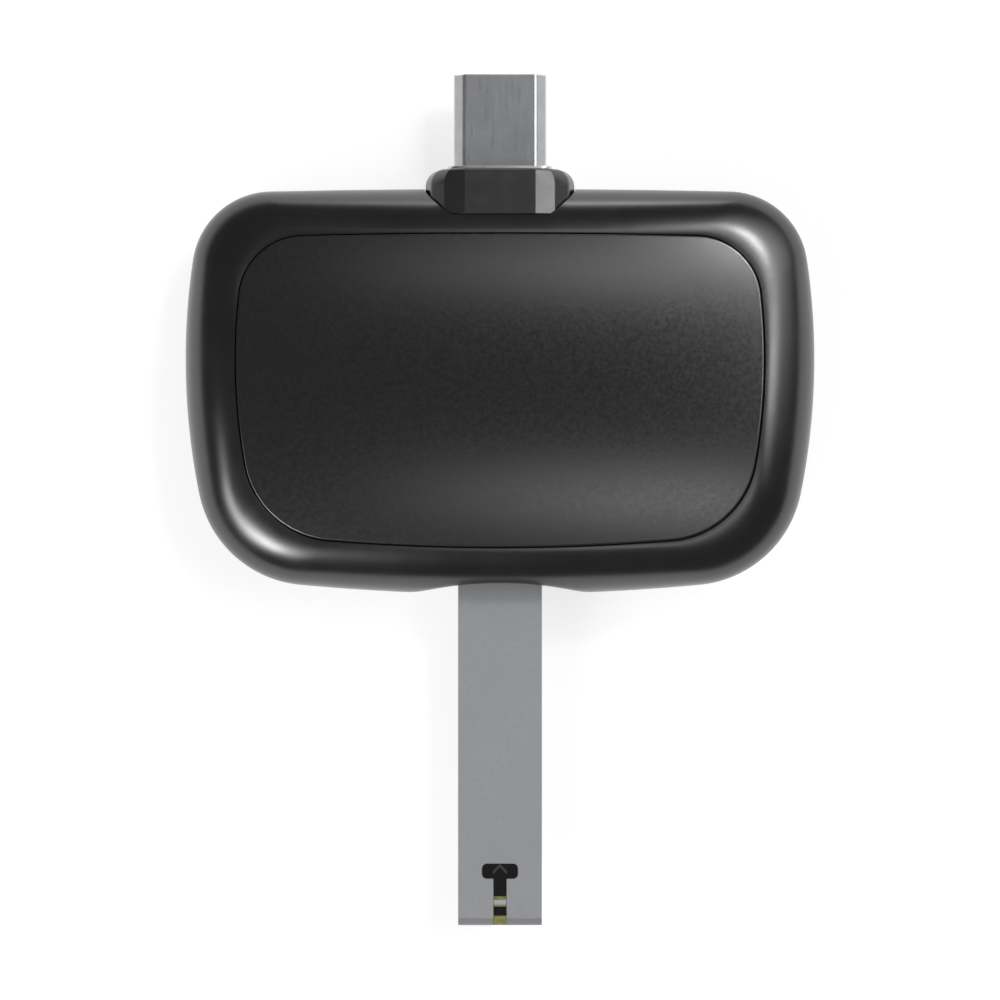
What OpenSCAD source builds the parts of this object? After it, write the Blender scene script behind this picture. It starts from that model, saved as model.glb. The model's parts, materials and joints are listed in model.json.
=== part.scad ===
// Blood glucose meter: a pocket dongle that plugs into a telephone's micro-USB socket and
// reads the test strip held in its lower edge. The telephone is its screen and its supply.
// +X is to the right, +Y towards the plug and +Z out of the front face. The origin is the
// middle of the flat rear face that the meter rests on. All sizes are in millimetres.

/* [Casing] */
// Width of the casing across its widest line
case_w = 46.6; // [38.8:0.1:56]
// Height of the casing from the strip edge to the plug edge
case_h = 30; // [25:0.1:36]
// Height of the parting line, the plug and the strip above the rear face
part_z = 4.7; // [4.4:0.1:5.7]
// Rise of the middle of the front above the parting line
front_rise = 5.5; // [5.2:0.1:6.6]
// Distance of the widest line above the middle of the casing
widest_y = 2.4; // [0:0.1:4]
// Radius of the bulge of the two sides
side_r = 50; // [42:1:120]
// Radius of the bulge of the plug edge
plug_edge_r = 800; // [200:10:2000]
// Radius of the bulge of the strip edge
strip_edge_r = 160; // [80:5:400]
// Radius of the two corners beside the plug
plug_corner_r = 5.9; // [5:0.1:8]
// Radius of the two corners beside the strip
strip_corner_r = 8.4; // [7.5:0.1:10]
// Wall thickness of both casing halves
wall = 1.4; // [1.1:0.05:1.7]
// Thickness of the rear floor
floor_t = 1.2; // [1:0.05:1.5]
// Width of the thumb notch round the strip
notch_w = 13.2; // [10:0.1:16]
// Depth of the thumb notch
notch_d = 0.85; // [0.5:0.05:1.1]

/* [Front panel] */
// Width of the rounded rim at the two sides of the panel
rim_side = 3.85; // [3:0.05:4.7]
// Width of the rounded rim above and below the panel
rim_end = 3.45; // [2.8:0.05:4.2]
// Radius of the panel's corners beside the plug
panel_plug_corner_r = 4.8; // [3.5:0.1:6]
// Radius of the panel's corners beside the strip
panel_strip_corner_r = 6.8; // [5:0.1:8.2]
// Thickness of the panel in its corners, where it is thinnest
panel_t = 0.5; // [0.4:0.05:0.7]
// Fall of the crowned front from its middle to the panel's two sides
fall_side = 1.3; // [0.8:0.1:1.5]
// Fall of the crowned front from its middle to the panel's upper and lower edge
fall_end = 1.3; // [0.8:0.1:1.5]
// Width of the groove round the panel
panel_gap = 0.12; // [0.08:0.02:0.3]
// Thickness of the adhesive film under the panel
tape_t = 0.1; // [0.05:0.05:0.2]
// Thickness of the deck that the panel is stuck to
deck_t = 1; // [0.8:0.05:1.2]

/* [Rear] */
// Width of the blank rating label
label_w = 24; // [15:0.5:24]
// Height of the blank rating label
label_h = 12; // [8:0.5:14]
// Corner radius of the label
label_corner_r = 1.5; // [0.5:0.1:3]
// Thickness of the label, which lies flush in its recess
label_t = 0.3; // [0.2:0.05:0.4]
// Distance of each screw from the side of the casing
screw_inset = 6.3; // [6.1:0.1:6.6]
// Diameter of the screws
screw_d = 1.6; // [1.3:0.1:1.9]
// Diameter of the screw heads
screw_head_d = 2.9; // [2.4:0.1:3.4]

/* [Plug] */
// Width of the plug's steel shell
plug_w = 6.85; // [5.7:0.05:8.25]
// Height of the plug's steel shell
plug_h = 1.8; // [1.5:0.05:2.15]
// Length of the plug beyond its collar
plug_l = 6.8; // [5.8:0.1:8.2]
// Thickness of the plug shell's steel
plug_steel_t = 0.25; // [0.2:0.01:0.3]
// Width of the moulded boot behind the plug
boot_w = 11; // [10.2:0.1:13.2]
// Thickness of the boot
boot_t = 7.5; // [6.2:0.1:7.8]
// Corner radius of the boot's section
boot_corner_r = 2.9; // [2:0.1:2.9]
// Distance that the boot stands out of the casing
boot_proud = 1.35; // [1:0.05:1.7]
// Distance from the casing's plug edge to the boot's inner end
boot_depth = 2.05; // [1.9:0.05:2.5]
// Width of the steel collar's flange round the plug
collar_edge = 0.42; // [0.35:0.01:0.5]
// Thickness of the collar
collar_t = 0.3; // [0.2:0.05:0.5]

/* [Strip] */
// Width of the test strip
strip_w = 6.2; // [5.1:0.05:7.5]
// Thickness of the test strip
strip_t = 0.5; // [0.4:0.05:0.6]
// Length of strip that stands out of the casing
strip_out = 25.35; // [20:0.05:31]
// Length of strip inside the casing
strip_in = 8.7; // [7.2:0.05:10.4]
// Number of electrode tracks on the strip
tracks = 5; // [3:1:5]
// Spacing of the electrode tracks
track_pitch = 1.1; // [0.9:0.05:1.15]

/* [Circuit board] */
// Thickness of the circuit board
board_t = 1; // [0.8:0.1:1.2]
// Height of the plug's shell above the board
board_gap = 0.2; // [0.1:0.05:0.3]
// Side of the square microcontroller
processor_w = 6; // [5:0.5:6]
// Length of the measuring chip
converter_l = 5; // [4:0.5:6]

/* [Hidden] */

$fn = 48;
eps = 0.01;
past = 1;          // how far a cut runs past what it cuts

// Clearances.
seat_gap = 0.03;   // between pieces that are seated or glued together
boot_gap = 0.06;   // round the boot where it leaves the casing
slide_gap = 0.12;  // round the strip in its port
slot_gap = 0.25;   // round the strip where it leaves the casing
thread_gap = 0.02; // between a screw and its pilot hole
shank_gap = 0.15;  // between a screw and what it passes through, and round its head
lip_gap = 0.12;    // between the rear half's lip and the front half's wall
solder_gap = 0.05; // under a soldered piece
layer_gap = 0.01;  // beside a film or print of the strip

// Levels along Z.
top_z = part_z + front_rise;
deck_z = min([for (p = panel_outline()) crown_z(p)]) - panel_t - tape_t;
ceiling_z = deck_z - deck_t;
board_top_z = part_z - plug_h / 2 - board_gap;
board_bottom_z = board_top_z - board_t;
solder_z = board_top_z + solder_gap;

// Places along Y.
case_top = case_h / 2;
boot_face = case_top + boot_proud;
boot_back = case_top - boot_depth;
plug_seat = boot_face + collar_t;
plug_mouth = plug_seat + plug_l;
plug_back = boot_back - 3.4;
notch_y = -case_h / 2 + notch_d;
strip_head = notch_y + strip_in;
strip_tip = notch_y - strip_out;

// Strip port. Its front face stays clear of the bulge of the casing's inner wall.
port_wall = 0.4;
port_w = strip_w + 2 * slide_gap + 2.6;
port_rise = 1.15;     // from the strip's middle to the top of the port
port_front = -case_h / 2 + wall + bulge(strip_edge_r - wall, port_w / 2) + seat_gap;
port_back = strip_head + slide_gap + port_wall;
groove_z = part_z + strip_t / 2 + slide_gap;
groove_h = 0.62;
spring_w = 0.5;
spring_t = 0.15;

// Casing curves.
rim_turn = 80;        // angle that the front rim's section turns through
rim_steps = 9;
base_steps = 9;
base_inset = 4.2;     // from the parting line in to the flat rear face
cove_steps = 3;
front_cove = 1.4;     // extra inset of the cavity at its ceiling
rear_cove = 2.4;      // extra inset of the cavity at its floor
lip_t = 0.6;
lip_rise = 0.7;
lip_root = 0.9;

// Screws and their bosses.
sunk = 0.3;           // how deep a boss or rib reaches into what it stands on
boss_r = screw_d / 2 + 1.3;
head_seat_z = 1.35;
head_sunk = 0.35;
screw_x = case_w / 2 - screw_inset;
screw_end_z = ceiling_z - 0.4;
pilot_end_z = screw_end_z + 0.2;

// Latches of the plug, along Y from the collar.
latch_x = plug_w / 2 - 0.95;
latch_w = 0.5;
latch_t = 0.2;
latch_root = 1.65;
latch_end = 5.3;
hook_from = 3.9;
hook_to = 4.9;
hook_proud = 0.4;
hook_play = 0.12;
latch_z = part_z - plug_h / 2 + plug_steel_t + 0.15;

// Contacts and insulator of the plug.
contact_pitch = 0.65;
contact_w = 0.28;
contact_t = 0.14;
contact_rise = 0.28;   // from the plug's axis to the middle of the contacts
insulator_front = 1.6; // from the collar to the face of the solid part
ledge_front = plug_l - 0.5;

// Board layout, from the middle outwards.
board_inset = 2.6;     // from the parting line in to the board's edge
board_rib_span = 22;
chip_y = (plug_back + port_back) / 2;
chip_t = 0.85;
lead_t = 0.15;
lead_out = 0.95;
lead_pitch = 0.65;
bridge_w = 3;
processor_x = -bridge_w / 2 - 0.8 - processor_w / 2;
converter_w = 4.4;
converter_x = bridge_w / 2 + 0.7 + lead_out + converter_w / 2;
regulator_size = [1.6, 2.9, 1.1];
regulator_place = [converter_x + 2.4, chip_y + 5.6];
small_part = [0.55, 1];
small_end = 0.22;
capacitor_h = 0.55;
resistor_h = 0.35;
sensor_h = 0.5;

// Places of the small two-ended parts, each [x, y, quarter turns].
capacitor_places = [for (i = [0 : 5]) [-plug_w / 2 - 0.6 - i * 1.9, chip_y + 5.4, 0]];
resistor_places = concat(
    [for (i = [0 : 3]) [converter_x + converter_w / 2 + lead_out + 1.2, chip_y - 2.7 + i * 1.2, 1]],
    [for (i = [0 : 3]) [port_w / 2 + 0.8 + i * 1.3, chip_y - 4.6, 0]]);
sensor_places = [[port_w / 2 + 3, port_back - 2.2, 0]];

// Layers of the strip, from its middle plane.
cover_t = 0.14;
spacer_t = 0.08;
base_top = strip_t / 2 - cover_t - spacer_t;
spacer_top = base_top + spacer_t;
cover_back = notch_y + 1.2;
track_w = 0.62;

// The T-shaped sampling channel, along Y from the strip's tip.
channel_w = 0.96;
vent_w = 2.65;
vent_from = 3.45;
vent_to = 4.55;
stem_from = 2.15;
bar_from = 0.75;
bar_to = 1.35;
drop_from = 0.03;
drop_to = 0.7;

// ---------------------------------------------------------------- outlines

// Height of an arc of radius r over half a chord of length x.
function bulge(r, x) = r - sqrt(r * r - x * x);

// Centre of a circle that touches two others from inside: the circles about the two
// centres with the leftover radii cross there, on the side given by 1 or -1.
function corner_centre(c1, d1, c2, d2, side) =
    let (gap = norm(c2 - c1),
         e = (c2 - c1) / gap,
         x = (d1 * d1 - d2 * d2 + gap * gap) / (2 * gap),
         h = sqrt(d1 * d1 - x * x))
    c1 + x * e + side * h * [-e[1], e[0]];

function angle_from(c, p) = atan2(p[1] - c[1], p[0] - c[0]);

function arc(c, r, from, to, steps) =
    [for (i = [0 : steps - 1])
        let (a = from + (to - from) * i / steps)
        c + r * [cos(a), sin(a)]];

// Right half of an outline of five tangent arcs, from its top middle down.
function half_outline(half_w, half_h, plug_r, strip_r, side, plug_edge, strip_edge) =
    let (c_side = [half_w - side, widest_y],
         c_top = [0, half_h - plug_edge],
         c_bottom = [0, strip_edge - half_h],
         c1 = corner_centre(c_side, side - plug_r, c_top, plug_edge - plug_r, 1),
         c2 = corner_centre(c_side, side - strip_r, c_bottom, strip_edge - strip_r, -1))
    concat(
        arc(c_top, plug_edge, 90, angle_from(c_top, c1), 4),
        arc(c1, plug_r, angle_from(c_top, c1), angle_from(c_side, c1), 8),
        arc(c_side, side, angle_from(c_side, c1), angle_from(c_side, c2), 6),
        arc(c2, strip_r, angle_from(c_side, c2), angle_from(c_bottom, c2), 8),
        arc(c_bottom, strip_edge, angle_from(c_bottom, c2), -90, 4),
        [[0, -half_h]]);

// A half outline and its mirror image, as one closed clockwise loop.
function mirrored(half) =
    let (last = len(half) - 1)
    concat(half, [for (i = [last - 1 : -1 : 1]) [-half[i][0], half[i][1]]]);

// The casing's outline, drawn in evenly by d.
function case_outline(d = 0) = mirrored(half_outline(
    case_w / 2 - d, case_h / 2 - d, plug_corner_r - d, strip_corner_r - d,
    side_r - d, plug_edge_r - d, strip_edge_r - d));

// The outline of the front panel's pocket, drawn in evenly by d.
function panel_outline(d = 0) = mirrored(half_outline(
    case_w / 2 - rim_side - d, case_h / 2 - rim_end - d,
    panel_plug_corner_r - d, panel_strip_corner_r - d,
    side_r - rim_side - d, plug_edge_r - rim_end - d, strip_edge_r - rim_end - d));

// Level of the crowned front over a point.
function crown_z(p) = top_z - fall_side * pow(p[0] / (case_w / 2 - rim_side), 2)
                            - fall_end * pow(p[1] / (case_h / 2 - rim_end), 2);

function at_z(loop, z) = [for (p = loop) [p[0], p[1], z]];

function on_crown(loop) = [for (p = loop) [p[0], p[1], crown_z(p)]];

function mixed(a, b, share) = [for (i = [0 : len(a) - 1]) a[i] * share + b[i] * (1 - share)];

function reversed(list) = [for (i = [len(list) - 1 : -1 : 0]) list[i]];

// Points of a rectangle with round corners, clockwise.
function round_rect(w, h, r, steps = 6) =
    [for (q = [[1, 1, 90], [1, -1, 0], [-1, -1, -90], [-1, 1, -180]], i = [0 : steps])
        let (a = q[2] - 90 * i / steps)
        [q[0] * (w / 2 - r) + r * cos(a), q[1] * (h / 2 - r) + r * sin(a)]];

// Both edges of a thin bent strip that follows a path, mitred at its bends.
function ribbon(path, t) =
    let (last = len(path) - 1,
         way = [for (i = [0 : last - 1]) (path[i + 1] - path[i]) / norm(path[i + 1] - path[i])],
         side = [for (i = [0 : last])
             let (a = way[max(0, i - 1)],
                  b = way[min(last - 1, i)],
                  na = [-a[1], a[0]],
                  nb = [-b[1], b[0]])
             (na + nb) / (1 + na * nb) * t / 2])
    concat([for (i = [0 : last]) path[i] + side[i]],
           [for (i = [last : -1 : 0]) path[i] - side[i]]);

// ---------------------------------------------------------------- building blocks

// A closed solid through a stack of loops with equally many points.
module stack(loops) {
    n = len(loops[0]);
    last = len(loops) - 1;
    sides = [for (r = [0 : last - 1], k = [0 : n - 1])
        let (a = r * n + k, b = r * n + (k + 1) % n)
        each [[a, b, b + n], [a, b + n, a + n]]];
    ends = [[for (k = [n - 1 : -1 : 0]) k], [for (k = [0 : n - 1]) last * n + k]];
    polyhedron(points = [for (loop = loops) each loop], faces = concat(sides, ends));
}

// A flat shape drawn in X and Z about the plug's axis, carried from one Y to another.
module along_y(from, to) {
    translate([0, to, part_z])
        rotate([90, 0, 0])
            linear_extrude(to - from)
                children();
}

// A flat shape drawn in Y and Z, carried along X by w about x.
module along_x(x, w) {
    translate([x - w / 2, 0, 0])
        rotate([90, 0, 90])
            linear_extrude(w)
                children();
}

module block(low, high) {
    translate(low)
        cube(high - low);
}

module drilled(r, from, to) {
    translate([0, 0, from])
        cylinder(r = r, h = to - from);
}

module at_screws() {
    for (side = [-1, 1])
        translate([side * screw_x, widest_y, 0])
            children();
}

// ---------------------------------------------------------------- casing

module boot_section(gap = 0) {
    polygon(round_rect(boot_w + 2 * gap, boot_t + 2 * gap, boot_corner_r + gap));
}

// The space that the boot takes out of both casing halves.
module boot_notch() {
    along_y(boot_back - seat_gap, boot_face)
        boot_section(boot_gap);
}

// The thumb notch in the strip edge, cut by a large upright cylinder.
module thumb_notch() {
    notch_r = (pow(notch_w / 2, 2) + pow(notch_d, 2)) / (2 * notch_d);
    translate([0, notch_y - notch_r, 0])
        cylinder(r = notch_r, h = 4 * top_z, center = true, $fn = 96);
}

// The slot that the strip slides through.
module strip_slot() {
    along_y(-case_h, port_front + eps)
        square([strip_w + 2 * slot_gap, strip_t + 2 * slot_gap], center = true);
}

// Outer surface of the front half, from the parting line up to the panel's edge.
function front_skin() = [for (i = [0 : rim_steps])
    let (turn = rim_turn * i / rim_steps,
         share = (cos(turn) - cos(rim_turn)) / (1 - cos(rim_turn)),
         rise = sin(turn) / sin(rim_turn),
         foot = at_z(case_outline(), 0),
         head = at_z(panel_outline(), 0))
    [for (k = [0 : len(foot) - 1])
        let (p = foot[k] * share + head[k] * (1 - share))
        [p[0], p[1], part_z + (crown_z(head[k]) - part_z) * rise]]];

// Outer surface of the rear half, from the flat rear face up to the parting line.
function rear_skin() = [for (i = [0 : base_steps])
    let (turn = 90 * (1 - i / base_steps))
    at_z(mixed(case_outline(), case_outline(base_inset), cos(turn)),
         part_z * (1 - sin(turn)))];

// Inner surface of either half: upright from the parting line to from_z, then a cove.
function cavity_skin(from_z, end_z, cove) = concat(
    [at_z(case_outline(wall), part_z)],
    [for (i = [0 : cove_steps])
        let (turn = 90 * i / cove_steps)
        at_z(mixed(case_outline(wall), case_outline(wall + cove), cos(turn)),
             from_z + (end_z - from_z) * sin(turn))]);

module front_shell() {
    upright_z = part_z + port_rise + 0.15;
    color([0.13, 0.13, 0.14])
        difference() {
            union() {
                stack(concat(reversed(cavity_skin(upright_z, ceiling_z, front_cove)),
                             front_skin(), [at_z(panel_outline(), deck_z)]));
                at_screws()
                    drilled(boss_r, board_top_z + seat_gap, ceiling_z + sunk);
            }
            boot_notch();
            thumb_notch();
            strip_slot();
            at_screws()
                drilled(screw_d / 2 + thread_gap, board_bottom_z, pilot_end_z);
        }
}

// The lip that stands up inside the front half's wall and lines the two halves up.
module casing_lip() {
    difference() {
        union() {
            translate([0, 0, part_z - lip_root])
                linear_extrude(lip_root)
                    polygon(case_outline(wall - sunk));
            translate([0, 0, part_z - eps])
                linear_extrude(lip_rise + eps)
                    polygon(case_outline(wall + lip_gap));
        }
        translate([0, 0, part_z - lip_root - past])
            linear_extrude(lip_root + lip_rise + 2 * past)
                polygon(case_outline(wall + lip_gap + lip_t));
        block([-boot_w / 2 - 1, 0, 0], [boot_w / 2 + 1, case_h, top_z]);
        block([-port_w / 2 - 0.5, -case_h, 0], [port_w / 2 + 0.5, 0, top_z]);
    }
}

// Two ribs under the board.
module board_ribs() {
    rib_t = 0.8;
    for (y = [chip_y - 4, chip_y + 4])
        block([-board_rib_span / 2, y - rib_t / 2, floor_t - sunk],
              [board_rib_span / 2, y + rib_t / 2, board_bottom_z - seat_gap]);
}

module rear_shell() {
    color([0.12, 0.12, 0.13])
        difference() {
            union() {
                stack(concat(rear_skin(),
                             cavity_skin(board_top_z - 0.1, floor_t, rear_cove)));
                casing_lip();
                board_ribs();
                at_screws()
                    drilled(boss_r, floor_t - sunk, board_bottom_z - seat_gap);
            }
            boot_notch();
            thumb_notch();
            strip_slot();
            translate([0, 0, label_t - past])
                linear_extrude(past)
                    polygon(round_rect(label_w + 2 * seat_gap, label_h + 2 * seat_gap,
                                       label_corner_r + seat_gap));
            at_screws() {
                drilled(screw_head_d / 2 + shank_gap, -past, head_seat_z);
                drilled(screw_d / 2 + shank_gap, 0, board_bottom_z + past);
            }
        }
}

// The crowned, matt front panel: loops that shrink to its middle and climb as they go.
module front_panel() {
    crown_steps = 7;
    top_share = 0.06;
    edge = panel_outline(panel_gap);
    color([0.2, 0.2, 0.21])
        stack(concat(
            [at_z(edge, deck_z + tape_t)],
            [for (i = [0 : crown_steps - 1])
                on_crown(edge * (1 - (1 - top_share) * i / crown_steps))],
            [at_z(edge * top_share, top_z - 0.005)]));
}

module panel_tape() {
    color([0.75, 0.72, 0.6])
        translate([0, 0, deck_z])
            linear_extrude(tape_t)
                polygon(panel_outline(panel_gap + 1));
}

module rear_label() {
    color([0.6, 0.61, 0.62])
        linear_extrude(label_t)
            polygon(round_rect(label_w, label_h, label_corner_r));
}

// Cross-headed screws that clamp the two halves and the board.
module casing_screws() {
    cross = [0.4, screw_head_d * 0.55];
    cross_z = head_sunk + 0.55;
    color([0.45, 0.45, 0.47])
        at_screws()
            difference() {
                union() {
                    drilled(screw_head_d / 2, head_sunk, head_seat_z);
                    drilled(screw_d / 2, head_seat_z - eps, screw_end_z);
                }
                for (w = [[cross[0], cross[1]], [cross[1], cross[0]]])
                    block([-w[0] / 2, -w[1] / 2, 0], [w[0] / 2, w[1] / 2, cross_z]);
            }
}

// ---------------------------------------------------------------- plug

// Section of the plug, drawn in by d: broad towards the rear, with two slanting corners.
function plug_section(d = 0) =
    let (w = plug_w / 2 - d,
         h = plug_h / 2 - d,
         slope = plug_h * 0.42,
         r = 0.22)
    [[-w + r, -h], [-w, -h + r], [-w, h - slope], [-w + slope, h],
     [w - slope, h], [w, h - slope], [w, -h + r], [w - r, -h]];

function boot_ring(y, inset) =
    [for (p = round_rect(boot_w - 2 * inset, boot_t - 2 * inset, boot_corner_r - inset))
        [p[0], y, part_z + p[1]]];

// The moulded boot, rounded over at its outer end.
module plug_boot() {
    round_r = 0.9;
    round_steps = 4;
    color([0.1, 0.1, 0.11])
        difference() {
            stack(concat(
                [boot_ring(boot_back, 0)],
                [for (i = [0 : round_steps])
                    let (turn = 90 * i / round_steps)
                    boot_ring(boot_face - round_r * (1 - sin(turn)), round_r * (1 - cos(turn)))]));
            along_y(boot_back - past, boot_face + past)
                polygon(plug_section(-seat_gap));
        }
}

module plug_collar() {
    collar = [plug_w + 2 * collar_edge, plug_h + 2 * collar_edge];
    color([0.62, 0.63, 0.65])
        along_y(boot_face, plug_seat)
            difference() {
                polygon(round_rect(collar[0], collar[1], collar[1] / 3));
                polygon(plug_section(-seat_gap));
            }
}

// The plug's steel shell, with a slot for each latch and four feet on the board.
module plug_shell() {
    foot_w = 0.6;
    foot_l = 1;
    foot_x = plug_w / 2 - 0.6;
    color([0.72, 0.73, 0.75])
        difference() {
            union() {
                along_y(plug_back, plug_mouth)
                    polygon(plug_section());
                for (side = [-1, 1], y = [plug_back + 0.2, plug_back + 1.8])
                    block([side * foot_x - foot_w / 2, y, solder_z],
                          [side * foot_x + foot_w / 2, y + foot_l,
                           part_z - plug_h / 2 + plug_steel_t / 2]);
            }
            along_y(plug_back - past, plug_mouth + past)
                polygon(plug_section(plug_steel_t));
            for (side = [-1, 1])
                block([side * latch_x - latch_w / 2 - hook_play,
                       plug_seat + hook_from - hook_play, board_top_z],
                      [side * latch_x + latch_w / 2 + hook_play,
                       plug_seat + hook_to + hook_play, part_z - plug_h / 4]);
        }
}

// The moulded insulator: a solid root and a ledge with a groove for each contact.
module plug_insulator() {
    inset = plug_steel_t + seat_gap;
    ledge_w = 5 * contact_pitch + 0.5;
    ledge_z = contact_rise - 0.02;
    groove = [contact_w + 2 * seat_gap, contact_t + 2 * seat_gap];
    color([0.16, 0.16, 0.17])
        difference() {
            union() {
                along_y(plug_back + 0.3, plug_seat + insulator_front)
                    polygon(plug_section(inset));
                along_y(plug_seat + insulator_front - eps, plug_seat + ledge_front)
                    translate([-ledge_w / 2, ledge_z])
                        square([ledge_w, plug_h / 2 - inset - ledge_z]);
            }
            for (i = [-2 : 2])
                along_y(plug_back - past, plug_seat + ledge_front - 0.15)
                    translate([i * contact_pitch, contact_rise])
                        square(groove, center = true);
        }
}

// Five sprung contacts, each with a tail that comes down to the board.
module plug_contacts() {
    tip = plug_seat + ledge_front - 0.25;
    tail_z = solder_z + contact_t / 2;
    z = part_z + contact_rise;
    color([0.85, 0.68, 0.3])
        for (i = [-2 : 2])
            along_x(i * contact_pitch, contact_w)
                polygon(ribbon([[tip, z], [plug_back - 0.2, z], [plug_back - 0.7, tail_z],
                                [plug_back - 1.6, tail_z]], contact_t));
}

// A sprung latch: an arm along the shell's floor with a hook that stands out of its slot.
module plug_latch(side) {
    arm = [latch_z - latch_t / 2, latch_z + latch_t / 2];
    tip_z = part_z - plug_h / 2 - hook_proud;
    color([0.68, 0.69, 0.71])
        along_x(side * latch_x, latch_w)
            polygon([
                [plug_seat + latch_root, arm[0]],
                [plug_seat + hook_from, arm[0]],
                [plug_seat + hook_from, tip_z + 0.1],
                [plug_seat + hook_from + 0.15, tip_z],
                [plug_seat + hook_to, arm[0]],
                [plug_seat + latch_end, arm[0]],
                [plug_seat + latch_end, arm[1]],
                [plug_seat + latch_root, arm[1]]
            ]);
}

// ---------------------------------------------------------------- circuit board

module circuit_board() {
    color([0.05, 0.3, 0.17])
        difference() {
            translate([0, 0, board_bottom_z])
                linear_extrude(board_t)
                    polygon(case_outline(board_inset));
            at_screws()
                drilled(screw_d / 2 + shank_gap, board_bottom_z - past, board_top_z + past);
        }
}

// A box centred on a place of the board, from a level upwards.
module on_board(place, size, level = solder_z) {
    translate([place[0] - size[0] / 2, place[1] - size[1] / 2, level])
        cube(size);
}

// A chip with a dimple that marks its first lead.
module chip(place, size, level = solder_z) {
    dimple_in = 0.75;
    difference() {
        on_board(place, size, level);
        translate([place[0] - size[0] / 2 + dimple_in, place[1] + size[1] / 2 - dimple_in, 0])
            drilled(0.3, level + size[2] - 0.06, level + size[2] + past, $fn = 24);
    }
}

// Gold on the board: a row of round test points, and lands for the plug and the port.
module board_pads() {
    pad_t = solder_gap - 0.01;
    test_pad_r = 0.55;
    color([0.83, 0.66, 0.3]) {
        for (i = [0 : 5])
            translate([-port_w / 2 - 1.3 - i * 1.9, port_back - 0.6, 0])
                drilled(test_pad_r, board_top_z, board_top_z + pad_t, $fn = 24);
        for (i = [-2 : 2])
            on_board([i * contact_pitch, plug_back - 1.25], [0.36, 1.1, pad_t], board_top_z);
        for (i = [0 : tracks - 1])
            on_board([(i - (tracks - 1) / 2) * track_pitch, port_back + 1.05],
                     [0.6, 1.3, pad_t], board_top_z);
    }
}

module microcontroller() {
    color([0.08, 0.08, 0.09])
        chip([processor_x, chip_y], [processor_w, processor_w, chip_t]);
}

module measuring_chip() {
    color([0.08, 0.08, 0.09])
        chip([converter_x, chip_y], [converter_w, converter_l, chip_t], solder_z + 0.07);
}

module usb_chip() {
    color([0.09, 0.09, 0.1])
        chip([0, chip_y + 0.4], [bridge_w, bridge_w, chip_t]);
}

module regulator() {
    color([0.09, 0.09, 0.1])
        on_board(regulator_place, regulator_size, solder_z + 0.07);
}

// A row of gull-wing leads down one side of a chip, 1 for its right and -1 for its left.
module lead_row(place, way, count, pitch) {
    w = 0.26;
    knee_z = board_top_z + 0.6;
    heel_z = solder_z + lead_t / 2;
    for (i = [0 : count - 1])
        translate([place[0], place[1] + (i - (count - 1) / 2) * pitch + w / 2, 0])
            mirror([way > 0 ? 0 : 1, 0, 0])
                rotate([90, 0, 0])
                    linear_extrude(w)
                        polygon(ribbon([[seat_gap, knee_z], [lead_out * 0.4, knee_z],
                                        [lead_out * 0.55, heel_z], [lead_out, heel_z]], lead_t));
}

module chip_leads() {
    lead_count = floor((converter_l - 0.6) / lead_pitch) + 1;
    color([0.72, 0.73, 0.75])
        for (way = [-1, 1]) {
            lead_row([converter_x + way * converter_w / 2, chip_y], way, lead_count, lead_pitch);
            lead_row([regulator_place[0] + way * regulator_size[0] / 2, regulator_place[1]], way,
                     way > 0 ? 2 : 3, way > 0 ? 1.9 : 0.95);
        }
}

module crystal() {
    can = [2.5, 3.2, 0.8];
    color([0.7, 0.71, 0.72])
        on_board([processor_x - processor_w / 2 - 0.6 - can[0] / 2, chip_y], can);
}

module at_places(places) {
    for (p = places)
        translate([p[0], p[1], solder_z])
            rotate(p[2] * 90)
                children();
}

// The ceramic middle of a small part.
module small_body(height) {
    translate([-small_part[0] / 2, -small_part[1] / 2, 0])
        cube([small_part[0], small_part[1], height]);
}

// Its two tinned ends.
module small_ends(height) {
    for (y = [-small_part[1] / 2 - small_end, small_part[1] / 2])
        translate([-small_part[0] / 2, y, 0])
            cube([small_part[0], small_end, height]);
}

module capacitors() {
    color([0.55, 0.42, 0.3])
        at_places(capacitor_places)
            small_body(capacitor_h);
}

module resistors() {
    color([0.1, 0.1, 0.12])
        at_places(resistor_places)
            small_body(resistor_h);
}

module temperature_sensor() {
    color([0.25, 0.2, 0.16])
        at_places(sensor_places)
            small_body(sensor_h);
}

module component_ends() {
    color([0.75, 0.76, 0.78]) {
        at_places(capacitor_places)
            small_ends(capacitor_h);
        at_places(resistor_places)
            small_ends(resistor_h);
        at_places(sensor_places)
            small_ends(sensor_h);
    }
}

// ---------------------------------------------------------------- strip port

module at_tracks() {
    for (i = [0 : tracks - 1])
        translate([(i - (tracks - 1) / 2) * track_pitch, 0, 0])
            children();
}

// The port's moulded housing, with the strip's slot and a groove for each contact.
module strip_port() {
    groove_w = spring_w + 0.16;
    color([0.85, 0.85, 0.82])
        difference() {
            block([-port_w / 2, port_front, board_top_z + seat_gap],
                  [port_w / 2, port_back, part_z + port_rise]);
            along_y(port_front - past, port_back - port_wall)
                square([strip_w + 2 * slide_gap, strip_t + 2 * slide_gap], center = true);
            at_tracks()
                block([-groove_w / 2, port_front + 1.8, groove_z - eps],
                      [groove_w / 2, port_back + past, groove_z + groove_h]);
        }
}

// Sprung contacts that meet the strip's tracks from above.
module strip_contacts() {
    touch_z = part_z + spacer_top + spring_t / 2 + seat_gap;
    high_z = groove_z + 0.45;
    tail_z = solder_z + spring_t / 2;
    back = port_back + spring_t / 2 + seat_gap;
    color([0.85, 0.68, 0.3])
        at_tracks()
            along_x(0, spring_w)
                polygon(ribbon([[strip_head - 4.6, touch_z + 0.35], [strip_head - 4, touch_z],
                                [strip_head - 2.6, high_z], [back, high_z],
                                [back, tail_z], [back + 1.3, tail_z]], spring_t));
}

// ---------------------------------------------------------------- test strip

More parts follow.
